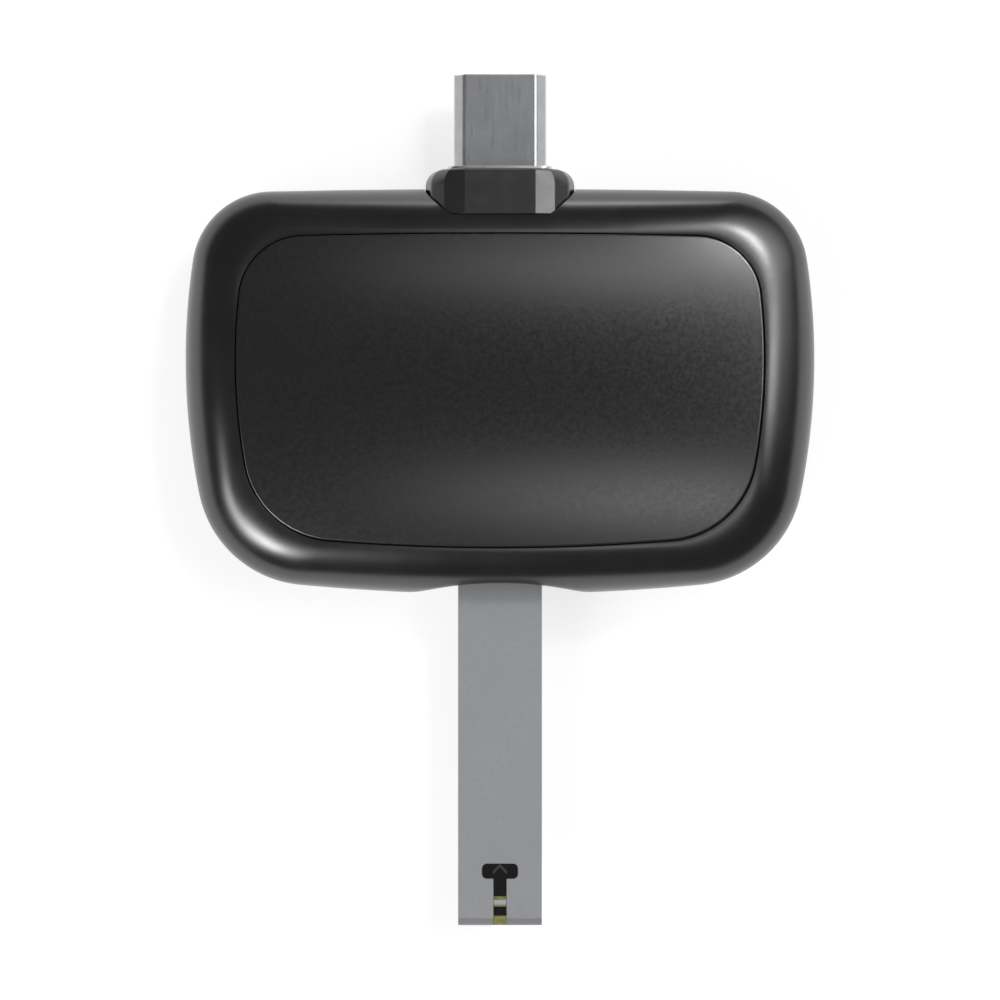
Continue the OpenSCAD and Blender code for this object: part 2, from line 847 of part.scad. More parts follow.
module strip_layer(from, to, low, high) {
    block([-strip_w / 2, from, part_z + low], [strip_w / 2, to, part_z + high]);
}

module channel_block(from, to, w, low, high) {
    block([-w / 2, strip_tip + from, part_z + low], [w / 2, strip_tip + to, part_z + high]);
}

// The T that the channel takes out of the spacer and the cover.
module channel_cut() {
    channel_block(-past, vent_to - layer_gap, channel_w + 2 * layer_gap, base_top, strip_t);
    channel_block(vent_from - layer_gap, vent_to + layer_gap, vent_w + 2 * layer_gap,
                  base_top, strip_t);
}

module strip_base() {
    color([0.62, 0.63, 0.65])
        strip_layer(strip_tip, strip_head, -strip_t / 2, base_top);
}

module strip_electrodes() {
    color([0.12, 0.12, 0.13])
        at_tracks()
            block([-track_w / 2, cover_back + 0.05, part_z + base_top],
                  [track_w / 2, strip_head - 0.3, part_z + spacer_top]);
}

module strip_spacer() {
    color([0.8, 0.8, 0.8])
        difference() {
            strip_layer(strip_tip, cover_back, base_top, spacer_top);
            channel_cut();
        }
}

module strip_cover() {
    color([0.58, 0.59, 0.6])
        difference() {
            strip_layer(strip_tip, cover_back, spacer_top, strip_t / 2);
            channel_cut();
        }
}

// The dark lining of the channel: vent, stem and one bar nearer the tip.
module strip_channel() {
    top = strip_t / 2 - 0.02;
    color([0.03, 0.03, 0.03]) {
        channel_block(vent_from, vent_to, vent_w, base_top, top);
        channel_block(stem_from, vent_from, channel_w, base_top, top);
        channel_block(bar_from, bar_to, channel_w, base_top, top);
    }
}

// The reagent: an olive drop at the tip and a pale bed between the dark bars.
module strip_reagent() {
    drop_top = strip_t / 2 - 0.05;
    bed_top = drop_top - 0.04;
    color([0.45, 0.45, 0.3]) {
        channel_block(drop_from, drop_to, channel_w, base_top, drop_top);
        channel_block(bar_to + layer_gap, stem_from - layer_gap, channel_w, base_top, bed_top);
    }
}

front_shell();
rear_shell();
front_panel();
panel_tape();
rear_label();
casing_screws();
plug_boot();
plug_collar();
plug_shell();
plug_insulator();
plug_contacts();
plug_latch(-1);  // plug_latch_left
plug_latch(1);  // plug_latch_right
circuit_board();
board_pads();
microcontroller();
measuring_chip();
usb_chip();
regulator();
chip_leads();
crystal();
capacitors();
resistors();
component_ends();
temperature_sensor();
strip_port();
strip_contacts();
strip_base();
strip_electrodes();
strip_spacer();
strip_cover();
strip_channel();
strip_reagent();
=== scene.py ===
import json
import math

import bmesh
import bpy
import numpy as np
from mathutils import Matrix, Quaternion, Vector


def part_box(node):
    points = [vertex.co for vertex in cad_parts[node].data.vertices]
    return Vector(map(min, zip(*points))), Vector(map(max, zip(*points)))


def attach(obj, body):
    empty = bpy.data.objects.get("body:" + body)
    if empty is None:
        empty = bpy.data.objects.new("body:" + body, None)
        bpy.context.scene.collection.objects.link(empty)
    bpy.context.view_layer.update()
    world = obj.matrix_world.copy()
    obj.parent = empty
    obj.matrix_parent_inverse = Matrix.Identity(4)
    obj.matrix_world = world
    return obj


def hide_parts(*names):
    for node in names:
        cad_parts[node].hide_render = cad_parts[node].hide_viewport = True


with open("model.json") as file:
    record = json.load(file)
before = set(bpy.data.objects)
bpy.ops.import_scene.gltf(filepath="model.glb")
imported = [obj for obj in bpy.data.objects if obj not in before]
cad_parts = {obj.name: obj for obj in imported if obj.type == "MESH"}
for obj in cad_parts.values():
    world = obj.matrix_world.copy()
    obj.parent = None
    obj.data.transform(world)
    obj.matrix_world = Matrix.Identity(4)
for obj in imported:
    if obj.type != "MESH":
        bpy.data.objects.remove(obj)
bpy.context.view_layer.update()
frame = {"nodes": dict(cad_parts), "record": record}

nodes = frame["nodes"]
scene = bpy.context.scene
MM = 0.001  # sizes below are in millimetres, and Blender's are in metres

# ------------------------------------------------------------------ sizes, as in the CAD source

# the casing's outline: half sizes, corner radii, and the radii of its three bowed edges
CASE = dict(half_w=23.28, half_h=15.0, plug_r=5.9, strip_r=8.4, side=50.0, plug_edge=800.0,
            strip_edge=160.0)
PANEL_RADII = dict(plug_r=4.8, strip_r=6.8)
RIM_SIDE = 3.85  # from the outline in to the panel, at the left and right
RIM_END = 3.45   # and at the plug's and the strip's edge
WIDEST_Y = 2.4
PARTING_Z = 4.7
TOP_Z = 10.193
FALL_SIDE = 1.3  # how far the crown falls from its middle to the panel's sides
FALL_END = 1.3   # and to its ends
RIM_TURN = math.radians(80)
BASE_INSET = 4.2  # from the outline in to the flat rear face
WALL = 1.4
FLOOR_T = 1.2
PANEL_GAP = 0.07
BOARD_TOP_Z = 3.6
BOARD_BOTTOM_Z = 2.6
DECK_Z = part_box("panel_tape")[0].z / MM  # the deck under the panel's adhesive film
CEILING_Z = DECK_Z - 1.0
FRONT_COVE = 1.4  # how far the cavity's round shoulders reach in
REAR_COVE = 2.4
NOTCH_W = 13.2
NOTCH_D = 0.85
NOTCH_Y = NOTCH_D - CASE["half_h"]
NOTCH_R = ((NOTCH_W / 2) ** 2 + NOTCH_D ** 2) / (2 * NOTCH_D)
SCREW_X = 17.0
BOSS_R = 2.1
PILOT_R = 0.82
HEAD_R = 1.6
HEAD_SEAT_Z = 1.35
SHANK_R = 0.95
SEAT = 0.03  # clearance of pieces that sit against each other
BOOT_W = 11.0
BOOT_T = 7.5
BOOT_R = 2.9
BOOT_BACK = 12.95
BOOT_FACE = 16.35
PLUG_W = 6.85
PLUG_H = 1.8
PLUG_STEEL = 0.25
PLUG_BACK = 9.55
PLUG_SEAT = 16.65
PLUG_MOUTH = 23.45
FOOT_X = 2.825
LATCH_X = 2.475
STRIP_W = 6.2
STRIP_T = 0.5
STRIP_TIP = -39.5
TIP_BAND = (0.12, 0.46)  # a band painted darker near the tip, its start and end from the tip
COVER_BACK = -12.95
COVER_LOW = 0.11
PORT_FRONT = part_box("strip_port")[0].y / MM
PORT_W = 9.04

# ------------------------------------------------------------------ outlines


def corner_centre(c1, d1, c2, d2, side):
    """Centre of a circle that touches two others from inside."""
    gap = np.linalg.norm(c2 - c1)
    e = (c2 - c1) / gap
    x = (d1 * d1 - d2 * d2 + gap * gap) / (2 * gap)
    h = math.sqrt(d1 * d1 - x * x)
    return c1 + x * e + side * h * np.array([-e[1], e[0]])


def angle_from(c, p):
    return math.atan2(p[1] - c[1], p[0] - c[0])


def arc(c, r, start, end, steps):
    a = start + (end - start) * np.arange(steps) / steps
    return np.column_stack([c[0] + r * np.cos(a), c[1] + r * np.sin(a)])


def outline(half_w, half_h, plug_r, strip_r, side, plug_edge, strip_edge):
    """A closed clockwise loop of tangent arcs from its top middle, the same left and right."""
    c_side = np.array([half_w - side, WIDEST_Y])
    c_top = np.array([0, half_h - plug_edge])
    c_bottom = np.array([0, strip_edge - half_h])
    c1 = corner_centre(c_side, side - plug_r, c_top, plug_edge - plug_r, 1)
    c2 = corner_centre(c_side, side - strip_r, c_bottom, strip_edge - strip_r, -1)
    half = np.vstack([
        arc(c_top, plug_edge, math.pi / 2, angle_from(c_top, c1), 22),
        arc(c1, plug_r, angle_from(c_top, c1), angle_from(c_side, c1), 22),
        arc(c_side, side, angle_from(c_side, c1), angle_from(c_side, c2), 26),
        arc(c2, strip_r, angle_from(c_side, c2), angle_from(c_bottom, c2), 24),
        arc(c_bottom, strip_edge, angle_from(c_bottom, c2), -math.pi / 2, 36),
        [[0, -half_h]],
    ])
    return np.vstack([half, half[-2:0:-1] * [-1, 1]])


def case_outline(d=0.0):
    """The casing's outline drawn in by d."""
    return outline(**{key: value - d for key, value in CASE.items()})


def panel_outline(d=0.0):
    """The outline of the panel's recess drawn in by d."""
    shape = dict(half_w=CASE["half_w"] - RIM_SIDE, half_h=CASE["half_h"] - RIM_END,
                 side=CASE["side"] - RIM_SIDE, plug_edge=CASE["plug_edge"] - RIM_END,
                 strip_edge=CASE["strip_edge"] - RIM_END, **PANEL_RADII)
    return outline(**{key: value - d for key, value in shape.items()})


def crown_z(loop):
    """Level of the crowned front over each point of a loop."""
    across = loop[:, 0] / (CASE["half_w"] - RIM_SIDE)
    along = loop[:, 1] / (CASE["half_h"] - RIM_END)
    return TOP_Z - FALL_SIDE * across ** 2 - FALL_END * along ** 2


def between(loop):
    """The loop through the middles of another's sides, for cuts that must miss its corners."""
    return (loop + np.roll(loop, 1, axis=0)) / 2


def lifted(loop, z):
    """A flat loop at a level, or with a level for each of its points."""
    return np.column_stack([loop, np.broadcast_to(z, len(loop))])


def round_rect(w, h, r, steps=10):
    """Points of a rectangle with round corners, clockwise."""
    points = []
    for sx, sy, start in ((1, 1, 90), (1, -1, 0), (-1, -1, -90), (-1, 1, -180)):
        for i in range(steps + 1):
            a = math.radians(start - 90 * i / steps)
            points.append([sx * (w / 2 - r) + r * math.cos(a), sy * (h / 2 - r) + r * math.sin(a)])
    return np.array(points)


def filleted(corners, radii, steps=6):
    """A polygon with each corner rounded by its own radius."""
    corners = np.array(corners, float)
    points = []
    for i, p in enumerate(corners):
        a = corners[i - 1] - p
        b = corners[(i + 1) % len(corners)] - p
        a /= np.linalg.norm(a)
        b /= np.linalg.norm(b)
        half = math.acos(np.clip(a @ b, -1, 1)) / 2
        if radii[i] <= 0 or half > math.radians(89):
            points.append(p)
            continue
        middle = p + (a + b) / np.linalg.norm(a + b) * radii[i] / math.sin(half)
        start = p + a * radii[i] / math.tan(half) - middle
        end = p + b * radii[i] / math.tan(half) - middle
        turn = math.pi - 2 * half
        for k in range(steps + 1):
            t = k / steps
            mix = (math.sin((1 - t) * turn) * start + math.sin(t * turn) * end) / math.sin(turn)
            points.append(middle + mix)
    return np.array(points)


def dented(ring):
    """A ring of the casing's skin with the soft thumb notch pressed into its strip edge."""
    soft = 0.2
    ring = ring.copy()
    x = np.clip(ring[:, 0], -NOTCH_R, NOTCH_R)
    notch = NOTCH_Y - NOTCH_R + np.sqrt(NOTCH_R ** 2 - x ** 2)
    near = ring[:, 1] < 0
    share = np.clip(0.5 + 0.5 * (notch - ring[:, 1]) / soft, 0, 1)
    blended = ring[:, 1] * (1 - share) + notch * share + soft * share * (1 - share)
    ring[near, 1] = blended[near]
    return ring


# ------------------------------------------------------------------ mesh building


def make_object(name, points, faces):
    mesh = bpy.data.meshes.new(name)
    mesh.from_pydata((np.array(points) * MM).tolist(), [], faces)
    obj = bpy.data.objects.new(name, mesh)
    scene.collection.objects.link(obj)
    work = bmesh.new()
    work.from_mesh(mesh)
    bmesh.ops.recalc_face_normals(work, faces=work.faces)
    work.to_mesh(mesh)
    work.free()
    return obj


def loft(name, rings, closed=False):
    """A solid through a stack of rings; closed joins the last ring to the first."""
    n = len(rings[0])
    last = len(rings) - 1
    spans = len(rings) if closed else last
    faces = []
    for r in range(spans):
        above = (r + 1) % len(rings)
        for k in range(n):
            after = (k + 1) % n
            faces.append((r * n + k, r * n + after, above * n + after, above * n + k))
    if not closed:
        faces.append(tuple(range(n)))
        faces.append(tuple(range(last * n, last * n + n)))
    return make_object(name, np.vstack(rings), faces)


def prism(name, loop, low, high):
    return loft(name, [lifted(loop, low), lifted(loop, high)])


def along_y(loop, y):
    """A loop drawn in X and Z about the plug's axis, at a place along Y."""
    return np.column_stack([loop[:, 0], np.full(len(loop), y), PARTING_Z + loop[:, 1]])


def y_prism(name, loop, low, high):
    return loft(name, [along_y(loop, low), along_y(loop, high)])


def block(name, low, high, r=0.0):
    """A box between two corners, its upright edges rounded by r."""
    low, high = np.array(low, float), np.array(high, float)
    size = high - low
    loop = round_rect(size[0], size[1], max(r, 1e-4), 4 if r > 0 else 1)
    return prism(name, loop + (low[:2] + high[:2]) / 2, low[2], high[2])


def drilled(name, r, low, high, x=0.0, y=0.0, steps=40):
    a = np.arange(steps) * 2 * math.pi / steps
    return prism(name, np.column_stack([x + r * np.cos(a), y + r * np.sin(a)]), low, high)


def settle(obj):
    """Replaces a piece's mesh by what its modifiers make of it."""
    graph = bpy.context.evaluated_depsgraph_get()
    made = bpy.data.meshes.new_from_object(obj.evaluated_get(graph), depsgraph=graph)
    obj.modifiers.clear()
    obj.data = made
    return obj


def combine(obj, tools, operation):
    """Adds tools to a piece (UNION) or cuts them out of it (DIFFERENCE)."""
    for tool in tools:
        change = obj.modifiers.new("change", "BOOLEAN")
        change.solver = "EXACT"
        change.operation = operation
        change.object = tool
        settle(obj)
        bpy.data.objects.remove(tool)
    return obj


def shade(obj, angle=35.0, level=False):
    """Smooth shading with sharp edges past an angle; level keeps the large faces flat."""
    obj.data.shade_smooth()
    obj.data.set_sharp_from_angle(angle=math.radians(angle))
    if level:
        weigh = obj.modifiers.new("weigh", "WEIGHTED_NORMAL")
        weigh.keep_sharp = True
        weigh.weight = 80
    return obj


def at_screws(make):
    return [make(side * SCREW_X, WIDEST_Y) for side in (-1, 1)]


# ------------------------------------------------------------------ materials


class Paint:
    """A node material with small helpers for procedural detail."""

    def __init__(self, name, color, rough, metallic=0.0, **sockets):
        self.material = bpy.data.materials.new(name)
        self.material.use_nodes = True
        self.tree = self.material.node_tree
        self.shader = self.tree.nodes["Principled BSDF"]
        self.shader.inputs["Base Color"].default_value = (*color, 1)
        self.shader.inputs["Roughness"].default_value = rough
        self.shader.inputs["Metallic"].default_value = metallic
        for key, value in sockets.items():
            self.shader.inputs[key.replace("_", " ")].default_value = value
        self.place = self.add("ShaderNodeTexCoord").outputs["Object"]
        self.normal = None

    def add(self, kind, **values):
        node = self.tree.nodes.new(kind)
        for key, value in values.items():
            setattr(node, key, value)
        return node

    def link(self, source, target):
        self.tree.links.new(source, target)

    def stretched(self, x, y, z):
        """The place scaled by a factor for each axis."""
        scale = self.add("ShaderNodeVectorMath", operation="MULTIPLY")
        self.link(self.place, scale.inputs[0])
        scale.inputs[1].default_value = (x, y, z)
        return scale.outputs[0]

    def noise(self, size, detail=3.0, rough=0.55, place=None):
        """Noise with features of about a size in millimetres."""
        node = self.add("ShaderNodeTexNoise")
        node.inputs["Scale"].default_value = 1 / (size * MM)
        node.inputs["Detail"].default_value = detail
        node.inputs["Roughness"].default_value = rough
        self.link(place or self.place, node.inputs["Vector"])
        return node.outputs["Fac"]

    def cells(self, size, feature="F1", metric="EUCLIDEAN", place=None):
        """Distance to the nearest of scattered points, about a size in millimetres apart."""
        node = self.add("ShaderNodeTexVoronoi", feature=feature, distance=metric)
        node.inputs["Scale"].default_value = 1 / (size * MM)
        self.link(place or self.place, node.inputs["Vector"])
        return node.outputs["Distance"]

    def ranged(self, value, low, high, new_low, new_high):
        """A value stretched from one range to another and kept inside it."""
        node = self.add("ShaderNodeMapRange")
        self.link(value, node.inputs["Value"])
        for key, number in zip(("From Min", "From Max", "To Min", "To Max"),
                               (low, high, new_low, new_high)):
            node.inputs[key].default_value = number
        return node.outputs["Result"]

    def math(self, operation, a, b):
        node = self.add("ShaderNodeMath", operation=operation)
        for socket, value in zip(node.inputs, (a, b)):
            if isinstance(value, (int, float)):
                socket.default_value = value
            else:
                self.link(value, socket)
        return node.outputs[0]

    def mixed(self, share, a, b):
        """A colour between a and b, each a colour or a socket."""
        node = self.add("ShaderNodeMix", data_type="RGBA")
        self.link(share, node.inputs["Factor"])
        for key, value in (("A", a), ("B", b)):
            socket = [s for s in node.inputs if s.name == key and s.type == "RGBA"][0]
            if isinstance(value, tuple):
                socket.default_value = (*value, 1)
            else:
                self.link(value, socket)
        return [s for s in node.outputs if s.type == "RGBA"][0]

    def color(self, socket):
        self.link(socket, self.shader.inputs["Base Color"])
        return self

    def rough(self, socket):
        self.link(socket, self.shader.inputs["Roughness"])
        return self

    def bump(self, height, depth):
        """Relief of a depth in millimetres, laid over any earlier relief."""
        node = self.add("ShaderNodeBump")
        node.inputs["Strength"].default_value = 1.0
        node.inputs["Distance"].default_value = depth * MM
        self.link(height, node.inputs["Height"])
        if self.normal:
            self.link(self.normal, node.inputs["Normal"])
        self.normal = node.outputs["Normal"]
        self.link(self.normal, self.shader.inputs["Normal"])
        return self

    def mottled(self, size, low, high):
        """Base colour that drifts between two tones."""
        share = self.ranged(self.noise(size), 0.3, 0.7, 0, 1)
        return self.color(self.mixed(share, low, high))


def tone(level, tint=(1.0, 1.0, 1.0)):
    return tuple(level * t for t in tint)


COOL = (0.97, 0.99, 1.03)  # a faint blue cast that all the blacks and greys share


def casing_paint():
    """Satin black moulded plastic: hardly any grain, a trace of handling in the gloss."""
    paint = Paint("casing_black", tone(0.005, COOL), 0.25, IOR=1.75)
    paint.mottled(6, tone(0.0045, COOL), tone(0.006, COOL))
    haze = paint.ranged(paint.noise(3.5, 4), 0.3, 0.7, 0.22, 0.28)
    paint.rough(haze)
    return paint.bump(paint.noise(0.22, 2), 0.0015).material


def rear_paint():
    """Spark-eroded black plastic."""
    paint = Paint("casing_rear_black", tone(0.016, COOL), 0.5)
    paint.mottled(5, tone(0.0145, COOL), tone(0.0185, COOL))
    paint.rough(paint.ranged(paint.noise(0.5, 3), 0.3, 0.7, 0.42, 0.56))
    paint.bump(paint.cells(0.32, "SMOOTH_F1"), 0.012)
    return paint.bump(paint.noise(0.16, 3), 0.006).material


def panel_paint():
    """Matt, finely grained black coating."""
    paint = Paint("panel_black", tone(0.009, COOL), 0.25, IOR=1.75)
    grain = paint.noise(0.3, 2, 0.6)
    slow = paint.ranged(paint.noise(7, 3), 0.3, 0.7, 0, 1)
    speck = paint.ranged(grain, 0.35, 0.65, 0, 1)
    drift = paint.mixed(slow, tone(0.0065, COOL), tone(0.0078, COOL))
    paint.color(paint.mixed(speck, drift, tone(0.0095, COOL)))
    paint.rough(paint.ranged(grain, 0.3, 0.7, 0.21, 0.27))
    return paint.bump(grain, 0.0025).material


def boot_paint():
    """Smooth over-moulded black plastic."""
    paint = Paint("boot_black", tone(0.012, COOL), 0.2, IOR=1.75)
    paint.mottled(2, tone(0.0115, COOL), tone(0.0145, COOL))
    paint.rough(paint.ranged(paint.noise(1.2, 3), 0.3, 0.7, 0.2, 0.27))
    return paint.bump(paint.noise(0.15, 2), 0.0015).material


def steel_paint(name, color, low, high, size=0.12):
    """Drawn steel: fine lines along Y, a little uneven in gloss."""
    paint = Paint(name, color, (low + high) / 2, 1.0)
    lines = paint.noise(size, 2, 0.5, paint.stretched(1, 0.06, 1))
    blotch = paint.ranged(paint.noise(1.4, 3), 0.3, 0.7, 0, 1)
    dull = tuple(0.88 * c for c in color)
    paint.color(paint.mixed(blotch, color, dull))
    paint.rough(paint.ranged(lines, 0.3, 0.7, low, high))
    return paint.bump(lines, 0.0001).material


def gold_paint():
    """Gold plating, a little duller in patches."""
    gold = (0.83, 0.6, 0.26)
    paint = Paint("contact_gold", gold, 0.25, 1.0)
    worn = paint.ranged(paint.noise(0.35, 3), 0.35, 0.7, 0, 1)
    paint.color(paint.mixed(worn, gold, (0.72, 0.5, 0.22)))
    paint.rough(paint.ranged(paint.noise(0.2, 2), 0.3, 0.7, 0.18, 0.34))
    return paint.bump(paint.noise(0.08, 2), 0.001).material


def plastic_paint(name, color, rough, grain=0.12, depth=0.002):
    """Moulded plastic or ceramic with a fine grain and a slow drift of colour."""
    paint = Paint(name, color, rough)
    darker = tuple(0.88 * c for c in color)
    lighter = tuple(1.08 * c for c in color)
    paint.mottled(0.9, darker, lighter)
    paint.rough(paint.ranged(paint.noise(grain * 3, 3), 0.3, 0.7, rough - 0.06, rough + 0.06))
    return paint.bump(paint.noise(grain, 3), depth).material


def board_paint():
    """Green solder mask over copper: tracks stand out a little; the cut edge shows the laminate."""
    paint = Paint("solder_mask_green", (0.01, 0.1, 0.045), 0.3)
    flat = paint.stretched(1, 1, 0)
    tracks = paint.cells(2.6, "F1", "CHEBYCHEV", flat)
    ribs = paint.math("PINGPONG", paint.math("MULTIPLY", tracks, 5.0), 0.5)
    copper = paint.ranged(ribs, 0.2, 0.26, 0, 1)
    green = paint.mixed(copper, (0.006, 0.075, 0.033), (0.016, 0.15, 0.065))
    geometry = paint.add("ShaderNodeNewGeometry")
    split = paint.add("ShaderNodeSeparateXYZ")
    paint.link(geometry.outputs["Normal"], split.inputs[0])
    upright = paint.math("ABSOLUTE", split.outputs[2], 0)
    face = paint.ranged(upright, 0.3, 0.7, 0, 1)
    weave = paint.ranged(paint.noise(0.12, 2, 0.5, paint.stretched(0.3, 0.3, 3)), 0.3, 0.7, 0, 1)
    laminate = paint.mixed(weave, (0.3, 0.27, 0.12), (0.45, 0.4, 0.2))
    paint.color(paint.mixed(face, laminate, green))
    paint.rough(paint.ranged(paint.noise(0.8, 3), 0.3, 0.7, 0.22, 0.38))
    return paint.bump(copper, 0.02).material


def film_paint(name, level, rough=0.42):
    """Grey polyester film with a faint tooth."""
    paint = Paint(name, tone(level, COOL), rough)
    speck = paint.ranged(paint.noise(0.28, 3, 0.6), 0.3, 0.7, 0, 1)
    slow = paint.ranged(paint.noise(4, 2), 0.3, 0.7, 0, 1)
    drift = paint.mixed(slow, tone(level * 0.97, COOL), tone(level * 1.03, COOL))
    paint.color(paint.mixed(speck, drift, tone(level * 0.93, COOL)))
    paint.rough(paint.ranged(paint.noise(0.5, 2), 0.3, 0.7, rough - 0.05, rough + 0.05))
    return paint.bump(paint.noise(0.2, 3), 0.003)


def cover_paint():
    """The cover film, painted darker in a narrow band along its tip."""
    paint = film_paint("strip_cover_grey", 0.3)
    color = paint.shader.inputs["Base Color"].links[0].from_socket
    split = paint.add("ShaderNodeSeparateXYZ")
    paint.link(paint.place, split.inputs[0])
    # a narrow band near the tip is painted a darker grey
    start, end = [(STRIP_TIP + d) * MM for d in TIP_BAND]
    after = paint.math("GREATER_THAN", split.outputs[1], start)
    before = paint.math("LESS_THAN", split.outputs[1], end)
    paint.color(paint.mixed(paint.math("MULTIPLY", after, before), color, tone(0.215, COOL)))
    return paint


def carbon_paint(name, low, high):
    """Printed carbon, which hardly shines."""
    paint = Paint(name, tone(low), 0.5, IOR=1.25)
    paint.mottled(0.12, tone(low), tone(high))
    return paint.bump(paint.noise(0.05, 3), 0.003).material


def reagent_paint():
    """Dried olive reagent, thicker and darker in patches."""
    paint = Paint("reagent_olive", (0.18, 0.175, 0.07), 0.5)
    paint.mottled(0.25, (0.13, 0.13, 0.03), (0.25, 0.25, 0.08))
    return paint.bump(paint.noise(0.12, 3), 0.01).material


PAINTS = {
    "casing": casing_paint(),
    "casing_rear": rear_paint(),
    "panel": panel_paint(),
    "adhesive": plastic_paint("adhesive_film", (0.75, 0.72, 0.62), 0.6),
    "label": film_paint("label_film", 0.36, 0.4).material,
    "screw_steel": steel_paint("dark_zinc", (0.2, 0.2, 0.21), 0.3, 0.45),
    "boot": boot_paint(),
    "plug_steel": steel_paint("tinned_steel", (0.7, 0.71, 0.73), 0.27, 0.31, 0.2),
    "insulator": plastic_paint("insulator_black", (0.016, 0.016, 0.017), 0.42),
    "gold": gold_paint(),
    "spring_steel": steel_paint("bright_spring_steel", (0.56, 0.57, 0.59), 0.18, 0.3),
    "solder_mask": board_paint(),
    "chip_epoxy": plastic_paint("chip_epoxy_black", (0.018, 0.018, 0.02), 0.55, 0.08, 0.004),
    "tin": steel_paint("bright_tin", (0.72, 0.73, 0.74), 0.28, 0.45, 0.08),
    "crystal_can": steel_paint("nickel_lid", (0.62, 0.62, 0.62), 0.22, 0.34, 0.08),
    "capacitor_ceramic": plastic_paint("brown_ceramic", (0.36, 0.24, 0.15), 0.5, 0.06),
    "resistor_ceramic": plastic_paint("black_glaze", (0.02, 0.02, 0.025), 0.3, 0.06),
    "port_plastic": plastic_paint("natural_plastic", (0.66, 0.65, 0.6), 0.42),
    "strip_film": film_paint("strip_film_grey", 0.3).material,
    "strip_cover_film": cover_paint().material,
    "spacer_film": film_paint("spacer_film_pale", 0.45).material,
    "carbon_ink": carbon_paint("carbon_black", 0.003, 0.007),
    "reagent": reagent_paint(),
}


def dress(obj, body, slot, *replaced):
    """A finished piece: its paint, its body, its slot and the CAD nodes that it stands for."""
    obj.data.materials.clear()
    obj.data.materials.append(PAINTS[slot])
    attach(obj, body)
    if replaced:
        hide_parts(*replaced)
    return obj


# ------------------------------------------------------------------ casing

SHUT_LINE = 0.07  # depth and half height of the fine groove along the parting line
EDGE = 0.08       # rounding of the rim's inner edge


def cavity_rings(from_z, end_z, cove):
    """The inside of a half, upright to from_z and then coved in to its end."""
    rings = [lifted(case_outline(WALL), PARTING_Z)]
    foot, head = case_outline(WALL), case_outline(WALL + cove)
    for turn in np.radians([0, 18, 36, 54, 72, 90]):
        level = from_z + (end_z - from_z) * math.sin(turn)
        rings.append(lifted(foot * math.cos(turn) + head * (1 - math.cos(turn)), level))
    return rings


def rim_ring(turn):
    """A ring of the front's outer surface, from the parting line (0) to the panel (RIM_TURN)."""
    foot, head = case_outline(), panel_outline()
    share = (math.cos(turn) - math.cos(RIM_TURN)) / (1 - math.cos(RIM_TURN))
    rise = math.sin(turn) / math.sin(RIM_TURN)
    loop = foot * share + head * (1 - share)
    return lifted(loop, PARTING_Z + (crown_z(head) - PARTING_Z) * rise)


def front_skin():
    """The front's outer surface, over the rim and down to the deck under the panel."""
    rings = [lifted(case_outline(SHUT_LINE), PARTING_Z + 0.005)]
    for turn in np.linspace(math.radians(1.0), RIM_TURN, 30)[:-1]:
        rings.append(rim_ring(turn))
    loop = panel_outline()
    for a in np.radians([60, 30, 0]):
        edge = panel_outline(-EDGE * (1 - math.cos(a)))
        rings.append(lifted(edge, crown_z(edge) - EDGE * (1 - math.sin(a))))
    rings.append(lifted(loop, DECK_Z))
    return [dented(ring) for ring in rings[:-4]] + rings[-4:]


def boot_notch():
    """A tool that cuts the seat of the boot through the wall."""
    gap = 0.06
    loop = round_rect(BOOT_W + 2 * gap, BOOT_T + 2 * gap, BOOT_R + gap, 16)
    return y_prism("notch_tool", loop, BOOT_BACK - SEAT, BOOT_FACE + 1)


def strip_slot():
    """A tool that cuts the mouth of the strip's slot through the wall."""
    return y_prism("slot_tool", round_rect(STRIP_W + 0.5, STRIP_T + 0.5, 0.2, 5),
                   -CASE["half_h"] - 1, PORT_FRONT + 0.01)


def front_casing():
    """The front half: rim, panel deck, cavity, screw bosses and the openings' upper halves."""
    upright_z = PARTING_Z + 1.3
    inside = cavity_rings(upright_z, CEILING_Z, FRONT_COVE)
    obj = loft("casing_front", inside[::-1] + front_skin())
    combine(obj, at_screws(lambda x, y: drilled("boss", BOSS_R, BOARD_TOP_Z + SEAT,
                                             CEILING_Z + 0.3, x, y)), "UNION")
    holes = at_screws(lambda x, y: drilled("pilot", PILOT_R, BOARD_BOTTOM_Z, CEILING_Z - 0.2, x, y))
    combine(obj, [boot_notch(), strip_slot(), *holes], "DIFFERENCE")
    shade(obj)
    return dress(obj, "meter", "casing", "front_shell")


def rear_skin():
    """The rear's outer surface, from the flat rear face up to the parting line."""
    foot, base = case_outline(), case_outline(BASE_INSET)
    rings = []
    for turn in np.radians(np.linspace(90, 1.0, 26)):
        share = math.cos(turn)
        rings.append(lifted(foot * share + base * (1 - share), PARTING_Z * (1 - math.sin(turn))))
    rings.append(lifted(case_outline(SHUT_LINE), PARTING_Z - 0.005))
    return [dented(ring) for ring in rings]


def casing_lip():
    """The lip that stands up inside the front half's wall, open at the boot and the port."""
    root, outer, inner = [between(case_outline(WALL + d)) for d in (-0.3, 0.12, 0.72)]
    low, step, high = PARTING_Z - 0.9, PARTING_Z - 0.02, PARTING_Z + 0.7
    lip = loft("lip", [lifted(root, low), lifted(root, step), lifted(outer, step),
                       lifted(outer, high), lifted(inner, high), lifted(inner, low)], closed=True)
    gaps = [block("gap", (-BOOT_W / 2 - 1, 0, 0), (BOOT_W / 2 + 1, 30, TOP_Z)),
            block("gap", (-PORT_W / 2 - 0.5, -30, 0), (PORT_W / 2 + 0.5, 0, TOP_Z))]
    return combine(lip, gaps, "DIFFERENCE")


